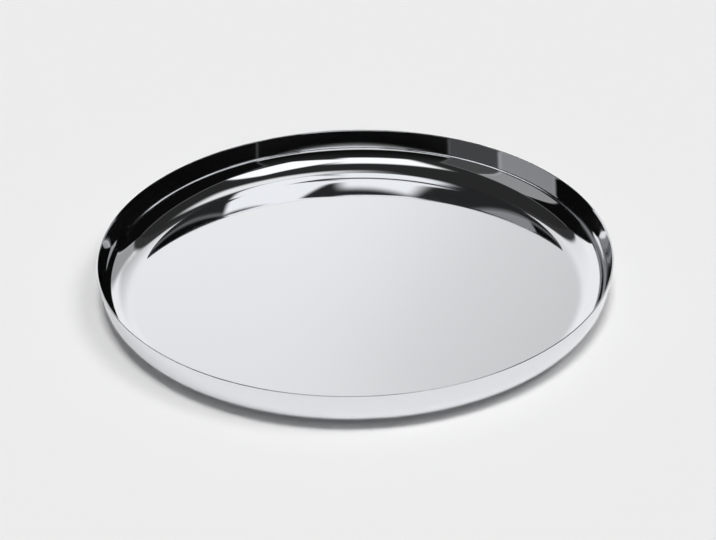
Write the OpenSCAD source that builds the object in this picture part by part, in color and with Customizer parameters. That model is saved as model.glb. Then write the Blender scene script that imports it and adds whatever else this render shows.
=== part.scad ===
// Round steel plate, drawn in one piece from flat sheet: a flat base, a cove, and a
// low wall, slightly bowed, that leans outward up to a plain, rounded rim edge.
// It stands on its base with +Z up, and the origin is the centre of the base's underside.

/* [Plate] */
// Diameter across the rim
rim_d = 300; // [220:5:400]
// Height of the rim above the table
plate_h = 25; // [20:0.5:40]
// Thickness of the steel sheet
sheet_t = 0.8; // [0.5:0.1:1.5]

/* [Wall] */
// Outward lean of the wall from upright at the rim, in degrees
wall_lean = 6; // [0:0.5:20]
// How much more the wall leans at its foot than at the rim, in degrees
wall_bow = 4.5; // [2:0.5:8]

/* [Cove] */
// Inside radius of the cove below the wall
cove_r = 15; // [8:0.5:18]
// Inside radius of the gentler toe, by which the cove runs out into the flat base
toe_r = 21; // [12:0.5:22]
// Lean at which the cove passes into the toe, in degrees
toe_turn = 61; // [45:1:75]

/* [Hidden] */
$fn = 180;

// The trimmed edge is buffed fully round, so its radius is half the sheet
edge_r = sheet_t / 2;
// Lean of the wall at its foot, where the cove begins
foot_lean = wall_lean + wall_bow;
// Lean of the flat base, where the toe ends
base_lean = 90;
// Radius of the toe's outside
toe_out_r = toe_r + sheet_t;
// Inside radius of the bowed wall, which brings the rim to its height
bow_r = (plate_h - edge_r - toe_out_r + (toe_r - cove_r) * sin(toe_turn)
         + cove_r * sin(foot_lean) + edge_r * sin(wall_lean))
        / (sin(foot_lean) - sin(wall_lean));
// Distance along the middle of the sheet from the bow's centre
bow_mid_r = bow_r + edge_r;
// Radius of the flat base, which is also how far out the toe's arc has its centre
base_r = rim_d / 2 - edge_r - bow_mid_r * cos(wall_lean)
         + (bow_r - cove_r) * cos(foot_lean) - (toe_r - cove_r) * cos(toe_turn);
// How far two arcs run into each other, so that they join as one sheet
arc_lap = sheet_t / 8;
// Side of the squares that trim a ring to its arc, as a share of the ring's outside radius
trim_share = 3;

// Turns what it is given to a lean, so that +X points across the sheet there
module leaning(lean) {
    rotate(-lean) children();
}

// Puts what it is given at the centre of the toe's arc
module at_toe() {
    translate([base_r, toe_out_r]) children();
}

// Puts what it is given at the centre of the cove's arc
module at_cove() {
    at_toe() leaning(toe_turn) translate([toe_r - cove_r, 0]) leaning(-toe_turn) children();
}

// Puts what it is given at the centre of the bowed wall's arc
module at_bow() {
    at_cove() leaning(foot_lean) translate([cove_r - bow_r, 0]) leaning(-foot_lean) children();
}

// Band of the sheet along an arc, from a lean at its top to a lean at its end
module sheet_arc(inside_r, top_lean, top_lap, end_lean, end_lap) {
    outside_r = inside_r + sheet_t;
    trim_side = trim_share * outside_r;
    difference() {
        circle(r = outside_r);
        circle(r = inside_r);
        leaning(top_lean) translate([-trim_side / 2, top_lap]) square(trim_side);
        leaning(end_lean) translate([-trim_side / 2, -trim_side - end_lap]) square(trim_side);
    }
}

// Flat base, from the axis out to the end of the toe
module base_strip() {
    square([base_r, sheet_t]);
}

// Toe, between the base and the cove
module toe_arc() {
    at_toe() sheet_arc(toe_r, toe_turn, arc_lap, base_lean, 0);
}

// Cove, between the toe and the wall
module cove_arc() {
    at_cove() sheet_arc(cove_r, foot_lean, arc_lap, toe_turn, arc_lap);
}

// Bowed wall, up to where its edge is trimmed
module wall_arc() {
    at_bow() sheet_arc(bow_r, wall_lean, 0, foot_lean, arc_lap);
}

// Full round on the trimmed edge
module edge_round() {
    at_bow() leaning(wall_lean) translate([bow_mid_r, 0]) circle(r = edge_r);
}

// The whole plate, turned from the section of its sheet
module plate() {
    color("silver") rotate_extrude() {
        base_strip();
        toe_arc();
        cove_arc();
        wall_arc();
        edge_round();
    }
}

plate();
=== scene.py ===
# A round plate drawn from one sheet of steel and polished like a mirror, on a pale studio floor.
import math
import bpy
from mathutils import Matrix, Vector


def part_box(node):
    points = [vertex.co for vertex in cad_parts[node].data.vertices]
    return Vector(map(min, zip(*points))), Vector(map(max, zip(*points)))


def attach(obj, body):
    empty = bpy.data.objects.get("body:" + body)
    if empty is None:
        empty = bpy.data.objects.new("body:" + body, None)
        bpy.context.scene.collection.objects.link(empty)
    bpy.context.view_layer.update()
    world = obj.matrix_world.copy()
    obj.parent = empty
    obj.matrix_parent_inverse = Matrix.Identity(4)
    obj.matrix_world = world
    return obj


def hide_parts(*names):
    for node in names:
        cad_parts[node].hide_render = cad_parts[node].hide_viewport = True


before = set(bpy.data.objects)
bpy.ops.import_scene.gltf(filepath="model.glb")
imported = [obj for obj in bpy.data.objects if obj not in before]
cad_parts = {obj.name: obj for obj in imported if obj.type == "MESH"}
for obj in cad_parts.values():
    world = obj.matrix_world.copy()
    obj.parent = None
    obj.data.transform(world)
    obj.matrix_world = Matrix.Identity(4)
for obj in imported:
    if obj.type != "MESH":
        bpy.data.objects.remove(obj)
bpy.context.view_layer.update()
print("frame loaded")


# Small helpers

def deselectAll():
    if bpy.context.object and bpy.context.object.mode != "OBJECT":
        bpy.ops.object.mode_set(mode="OBJECT")
    bpy.ops.object.select_all(action="DESELECT")


def toLinear(grey):
    share = grey / 255
    return share / 12.92 if share <= 0.04045 else ((share + 0.055) / 1.055) ** 2.4


def newMaterial(name):
    material = bpy.data.materials.new(name)
    material.use_nodes = True
    material.node_tree.nodes.clear()
    return material, material.node_tree.nodes, material.node_tree.links


def mathNode(nodes, links, operation, first, second):
    node = nodes.new("ShaderNodeMath")
    node.operation = operation
    for socket, value in zip(node.inputs, (first, second)):
        if isinstance(value, (int, float)):
            socket.default_value = value
        else:
            links.new(value, socket)
    return node.outputs["Value"]


# The plate: one section drawn from the middle of the well to the rim and back, then spun

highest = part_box("plate")[1]  # upper corner of the CAD plate
plateSizes = {
    "rimRadius": highest.x,  # to the outside of the rounded edge
    "height": highest.z,
    "sheet": 0.0008,  # thickness of the steel
    "rimLean": math.radians(6.0),  # of the wall from upright, at the rim
    "footLean": math.radians(10.5),  # of the wall where the cove begins
    "coveRadius": 0.015,  # inside the corner between base and wall
    "toeRadius": 0.021,  # inside the gentler run-out to the base
    "toeTurn": math.radians(61.0),  # lean where the cove passes into the toe
    "turns": 480,  # steps round the plate
    "toeSteps": 22,
    "coveSteps": 30,
    "wallSteps": 10,
    "edgeSteps": 10,
    "baseShares": (0.3, 0.55, 0.8),  # loops on the flat base, as shares of its radius
    "holdLoop": 0.0003,  # keeps the flat base flat up to the toe
    "weld": 0.00001,  # points nearer than this are joined
    "lift": 0.000001,  # keeps rounding from taking the underside below the floor
}


def pull(dx):
    bpy.ops.mesh.extrude_region_move(TRANSFORM_OT_translate={"value": (dx, 0, 0)})


def sweepArc(angle, steps, centre, inward):
    axis = (0, 1, 0) if inward else (0, -1, 0)
    bpy.ops.mesh.spin(steps=steps, angle=angle, center=(centre.x, 0, centre.z), axis=axis)


def across(lean):  # the direction across the sheet where it has this lean
    return Vector((math.cos(lean), 0, -math.sin(lean)))


def spinPlate(sizes):
    sheet, cove, toe = sizes["sheet"], sizes["coveRadius"], sizes["toeRadius"]
    rimLean, footLean, toeTurn = sizes["rimLean"], sizes["footLean"], sizes["toeTurn"]
    edgeRadius = sheet / 2
    rise = (sizes["height"] - edgeRadius - toe - sheet + (toe - cove) * math.sin(toeTurn)
            + cove * math.sin(footLean) + edgeRadius * math.sin(rimLean))
    bow = rise / (math.sin(footLean) - math.sin(rimLean))  # inside radius of the wall's slight bow
    baseRadius = (sizes["rimRadius"] - edgeRadius - (bow + edgeRadius) * math.cos(rimLean)
                  + (bow - cove) * math.cos(footLean) - (toe - cove) * math.cos(toeTurn))
    toeCentre = Vector((baseRadius, 0, toe + sheet))
    coveCentre = toeCentre + across(toeTurn) * (toe - cove)
    bowCentre = coveCentre + across(footLean) * (cove - bow)
    edgeCentre = bowCentre + across(rimLean) * (bow + edgeRadius)
    arcs = [(math.pi / 2 - toeTurn, sizes["toeSteps"], toeCentre),
            (toeTurn - footLean, sizes["coveSteps"], coveCentre),
            (footLean - rimLean, sizes["wallSteps"], bowCentre)]

    deselectAll()
    bpy.ops.mesh.primitive_plane_add(size=sheet, location=(0, 0, 0))
    plate = bpy.context.object
    plate.name = "polishedPlate"
    bpy.ops.object.mode_set(mode="EDIT")
    bpy.ops.mesh.merge(type="CENTER")  # down to the section's first point, at the middle of the well
    bpy.ops.transform.translate(value=(0, 0, sheet))

    stops = ([0] + [share * baseRadius for share in sizes["baseShares"]]
             + [baseRadius - sizes["holdLoop"], baseRadius])
    for start, stop in zip(stops, stops[1:]):  # out along the well
        pull(stop - start)
    for angle, steps, centre in arcs:  # up the inside
        sweepArc(angle, steps, centre, True)
    sweepArc(math.pi, sizes["edgeSteps"], edgeCentre, False)
    for angle, steps, centre in reversed(arcs):  # down the outside
        sweepArc(angle, steps, centre, False)
    for start, stop in zip(stops[::-1], stops[-2::-1]):  # back along the underside
        pull(stop - start)

    bpy.ops.mesh.select_all(action="SELECT")
    bpy.ops.mesh.spin(steps=sizes["turns"], angle=2 * math.pi, center=(0, 0, 0), axis=(0, 0, 1))
    bpy.ops.mesh.select_all(action="SELECT")
    bpy.ops.mesh.remove_doubles(threshold=sizes["weld"])
    bpy.ops.mesh.normals_make_consistent(inside=False)
    bpy.ops.transform.translate(value=(0, 0, sizes["lift"]))
    bpy.ops.object.mode_set(mode="OBJECT")
    bpy.ops.object.transform_apply(location=True, rotation=True, scale=True)
    bpy.ops.object.shade_smooth()
    return plate


plate = spinPlate(plateSizes)
print("plate spun:", len(plate.data.polygons), "faces")


# Mirror polish: nearly even, with the faint rings that the buffing wheel leaves

steelLook = {
    "colour": (0.824, 0.835, 0.857, 1),
    "roughness": (0.02, 0.06),
    "ringsPerMetre": 1500,
    "ringDetail": 3,
    "ringDepth": 0.00000006,
    "wavesPerMetre": 16,
    "waveDetail": 1,
    "waveDepth": 0.000012,
    "smudgesPerMetre": 22,
    "smudgeDetail": 4,
    "smudgeRange": (0.35, 0.7),  # part of the noise that the roughness runs over
}


def addNoise(nodes, links, place, scale, detail):
    noise = nodes.new("ShaderNodeTexNoise")
    noise.inputs["Scale"].default_value = scale
    noise.inputs["Detail"].default_value = detail
    links.new(place, noise.inputs["Vector"])
    return noise.outputs["Fac"]


def mirrorSteel(look):
    material, nodes, links = newMaterial("mirrorPolishedSteel")
    output = nodes.new("ShaderNodeOutputMaterial")
    steel = nodes.new("ShaderNodeBsdfPrincipled")
    steel.inputs["Base Color"].default_value = look["colour"]
    steel.inputs["Metallic"].default_value = 1
    links.new(steel.outputs["BSDF"], output.inputs["Surface"])

    place = nodes.new("ShaderNodeTexCoord").outputs["Object"]
    split = nodes.new("ShaderNodeSeparateXYZ")
    links.new(place, split.inputs["Vector"])
    flat = nodes.new("ShaderNodeCombineXYZ")
    links.new(split.outputs["X"], flat.inputs["X"])
    links.new(split.outputs["Y"], flat.inputs["Y"])
    outward = nodes.new("ShaderNodeVectorMath")
    outward.operation = "LENGTH"
    links.new(flat.outputs["Vector"], outward.inputs[0])
    ringPlace = nodes.new("ShaderNodeCombineXYZ")  # distance out and height only, so the noise makes rings
    links.new(outward.outputs["Value"], ringPlace.inputs["X"])
    links.new(split.outputs["Z"], ringPlace.inputs["Z"])

    rings = addNoise(nodes, links, ringPlace.outputs["Vector"], look["ringsPerMetre"], look["ringDetail"])
    waves = addNoise(nodes, links, place, look["wavesPerMetre"], look["waveDetail"])
    relief = mathNode(nodes, links, "ADD",
                      mathNode(nodes, links, "MULTIPLY", rings, look["ringDepth"]),
                      mathNode(nodes, links, "MULTIPLY", waves, look["waveDepth"]))
    bump = nodes.new("ShaderNodeBump")
    bump.inputs["Distance"].default_value = 1
    links.new(relief, bump.inputs["Height"])
    links.new(bump.outputs["Normal"], steel.inputs["Normal"])

    smudges = addNoise(nodes, links, place, look["smudgesPerMetre"], look["smudgeDetail"])
    rough = nodes.new("ShaderNodeMapRange")
    rough.inputs["From Min"].default_value = look["smudgeRange"][0]
    rough.inputs["From Max"].default_value = look["smudgeRange"][1]
    rough.inputs["To Min"].default_value = look["roughness"][0]
    rough.inputs["To Max"].default_value = look["roughness"][1]
    links.new(smudges, rough.inputs["Value"])
    links.new(rough.outputs["Result"], steel.inputs["Roughness"])
    return material


plate.data.materials.append(mirrorSteel(steelLook))
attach(plate, "root")
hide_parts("plate")
print("plate finished")


# The studio: a pale floor, two soft lights, and glowing cards that only the mirror sees, as painted reflections that
# light nothing

floorLook = {"grey": 239, "half": 20}  # tone, and metres from the middle to each side
deselectAll()
bpy.ops.mesh.primitive_plane_add(size=2 * floorLook["half"], location=(0, 0, 0))
floor = bpy.context.object
floor.name = "paleFloor"
material, nodes, links = newMaterial("palePaper")
output = nodes.new("ShaderNodeOutputMaterial")
paper = nodes.new("ShaderNodeBsdfDiffuse")
paper.inputs["Color"].default_value = (toLinear(floorLook["grey"]),) * 3 + (1,)
links.new(paper.outputs["BSDF"], output.inputs["Surface"])
floor.data.materials.append(material)

studio = {
    "half": 1.5,  # metres from the plate to each wall and to the roof
    "steelGives": 0.84,  # share of the light that the steel mirrors
    "layer": 0.002,  # gap between one card and the next
}
# Every card is a painted reflection: its glow shows only in the steel, lights nothing and casts no shadow
# Each card: wall, centre, size, turn in degrees, the greys that show in the steel from one end
# of the card to the other, the way that they run, and the width of its soft edge
cards = {
    "backdrop": ("front", (0, 0.5), (5, 1), 0, (235, 230), "across", 0.5),  # painted reflection of a pale backdrop, which the plate's floor mirrors
    "floorFade": ("front", (0.3, 1), (0.6, 0.6), 30, (230, 160), "across", 0.3),  # painted reflection, darker toward the right
    "frontSide": ("front", (1.1, 0.6), (0.8, 1.5), 0, (150, 150), "across", 0.25),  # painted reflection: grey end of the rim, left
    "header": ("front", (0, 1.5), (3, 0.5), 0, (50, 50), "across", 0.1),  # painted dark reflection, above the backdrop
    "roof": ("top", (0, 0), (3, 3), 0, (40, 40), "across", 0.25),  # painted dark reflection, for the dark wedges in the cove
    "softLeft": ("top", (-0.3, -0.75), (0.9, 1), 0, (255, 255), "across", 0.25),  # painted highlight: pale stretch, right of the middle
    "softRight": ("top", (0.7, -0.65), (1.1, 1.1), -30, (255, 255), "across", 0.1),  # painted highlight: white patch, left of the middle
    "softFront": ("top", (0.25, 0.9), (0.5, 0.5), 0, (230, 230), "across", 0.25),  # painted reflection: pale gap between the wedges
    "backDarkReflection": ("back", (0, 0.95), (3, 1.5), 0, (0, 40), "up", 0.15),  # painted dark reflection: black bands on the far wall
    "leftRear": ("left", (-1, 0.75), (1, 1.5), 0, (70, 70), "across", 0.1),  # painted reflection: dim stretch of the rim, right
    "leftGrey": ("left", (-0.05, 0.75), (0.9, 1.5), 0, (140, 140), "across", 0.1),  # painted reflection: grey stretch beyond it
    "leftDarkReflection": ("left", (1, 0.75), (1.2, 1.5), 0, (10, 10), "across", 0.1),  # painted dark reflection: black end of the rim, right
    "rightDarkReflection": ("right", (0, 0.75), (3, 1.5), 0, (10, 10), "across", 0.1),  # painted dark reflection: black wall on the left
}


def addCard(name, order, wall, centre, size, turn, greys, direction, soft):
    reach = studio["half"] - studio["layer"] * order  # later cards lie over earlier ones
    upright = Matrix.Rotation(math.pi / 2, 3, "X")
    sideways = Matrix.Rotation(math.pi / 2, 3, "Z")
    place, facing = {
        "front": ((centre[0], reach, centre[1]), upright),
        "back": ((centre[0], -reach, centre[1]), upright),
        "left": ((-reach, centre[0], centre[1]), sideways @ upright),
        "right": ((reach, centre[0], centre[1]), sideways @ upright),
        "top": ((centre[0], centre[1], reach), Matrix.Identity(3)),
    }[wall]
    rotation = (facing @ Matrix.Rotation(math.radians(turn), 3, "Z")).to_euler()
    deselectAll()
    bpy.ops.mesh.primitive_plane_add(size=1, location=place, rotation=rotation)
    card = bpy.context.object
    card.name = name
    card.scale = (size[0] + soft, size[1] + soft, 1)
    bpy.ops.object.transform_apply(location=True, rotation=True, scale=True)

    material, nodes, links = newMaterial(name + "Glow")
    output = nodes.new("ShaderNodeOutputMaterial")
    glow = nodes.new("ShaderNodeEmission")
    clear = nodes.new("ShaderNodeBsdfTransparent")
    blend = nodes.new("ShaderNodeMixShader")
    unfolded = nodes.new("ShaderNodeSeparateXYZ")
    links.new(nodes.new("ShaderNodeTexCoord").outputs["UV"], unfolded.inputs["Vector"])
    fades = []
    for axis, length in zip("XY", size):
        inFromEdge = mathNode(nodes, links, "PINGPONG", unfolded.outputs[axis], 0.5)
        fade = nodes.new("ShaderNodeMapRange")
        fade.interpolation_type = "SMOOTHSTEP"
        fade.inputs["From Max"].default_value = soft / (length + soft)
        links.new(inFromEdge, fade.inputs["Value"])
        fades.append(fade.outputs["Result"])
    along = nodes.new("ShaderNodeMapRange")
    along.inputs["To Min"].default_value, along.inputs["To Max"].default_value = (
        toLinear(grey) / studio["steelGives"] for grey in greys)
    links.new(unfolded.outputs["X" if direction == "across" else "Y"], along.inputs["Value"])
    links.new(along.outputs["Result"], glow.inputs["Strength"])
    links.new(mathNode(nodes, links, "MULTIPLY", *fades), blend.inputs["Fac"])
    links.new(clear.outputs["BSDF"], blend.inputs[1])
    links.new(glow.outputs["Emission"], blend.inputs[2])
    links.new(blend.outputs["Shader"], output.inputs["Surface"])
    card.data.materials.append(material)
    # Painted reflection: hidden from the camera, from the light that falls on other things and from shadows
    card.visible_camera = card.visible_diffuse = card.visible_shadow = False


for order, (name, setup) in enumerate(cards.items()):
    addCard(name, order, *setup)
print("cards hung:", len(cards))

airLook = {"seen": 239, "light": 0.165}  # grey behind everything, strength of the light that falls in
world = bpy.data.worlds.new("studioAir")
bpy.context.scene.world = world
world.use_nodes = True
nodes, links = world.node_tree.nodes, world.node_tree.links
nodes.clear()
output = nodes.new("ShaderNodeOutputWorld")
lit = nodes.new("ShaderNodeBackground")
lit.inputs["Color"].default_value = (1, 1, 1, 1)
lit.inputs["Strength"].default_value = airLook["light"]
seen = nodes.new("ShaderNodeBackground")
seen.inputs["Color"].default_value = (toLinear(airLook["seen"]),) * 3 + (1,)
pathKind = nodes.new("ShaderNodeLightPath")
direct = mathNode(nodes, links, "MAXIMUM", pathKind.outputs["Is Camera Ray"], pathKind.outputs["Is Glossy Ray"])
direct = mathNode(nodes, links, "MAXIMUM", direct, pathKind.outputs["Is Transmission Ray"])
choose = nodes.new("ShaderNodeMixShader")
links.new(direct, choose.inputs["Fac"])
links.new(lit.outputs["Background"], choose.inputs[1])
links.new(seen.outputs["Background"], choose.inputs[2])
links.new(choose.outputs["Shader"], output.inputs["Surface"])

lampHeight = 1.6
lamps = {  # strength, spread in degrees, tilt toward the camera and toward the right, in degrees
    "overheadKey": (1.86, 17, 14, 0),
    "sideKey": (0.86, 26, 8, 30),
}
for name, (strength, spread, toCamera, toRight) in lamps.items():
    deselectAll()
    bpy.ops.object.light_add(type="SUN", location=(0, 0, lampHeight),
                             rotation=(math.radians(toCamera), math.radians(toRight), 0))
    lamp = bpy.context.object
    lamp.name = name
    lamp.data.energy = strength
    lamp.data.angle = math.radians(spread)
    lamp.visible_glossy = False
print("studio set")


# Camera at the photograph's angle

cameraSetup = {"above": math.radians(31.40), "away": 1.3935, "roll": math.radians(-1.10),
               "aside": 0.00165, "raised": -0.01125, "lens": 120.32, "film": 36, "clip": (0.05, 100)}
turned = Matrix.Rotation(math.pi / 2 - cameraSetup["above"], 3, "X") @ Matrix.Rotation(cameraSetup["roll"], 3, "Z")
back = Vector((0, -math.cos(cameraSetup["above"]), math.sin(cameraSetup["above"])))
upward = Vector((0, math.sin(cameraSetup["above"]), math.cos(cameraSetup["above"])))
stand = (back * cameraSetup["away"] + upward * cameraSetup["raised"]
         + Vector((cameraSetup["aside"], 0, plateSizes["height"])))
deselectAll()
bpy.ops.object.camera_add(location=stand, rotation=turned.to_euler())
camera = bpy.context.object
camera.data.sensor_width = cameraSetup["film"]
camera.data.lens = cameraSetup["lens"]
camera.data.clip_start, camera.data.clip_end = cameraSetup["clip"]
bpy.context.scene.camera = camera
bpy.context.scene.view_settings.view_transform = "Standard"
print("camera set")
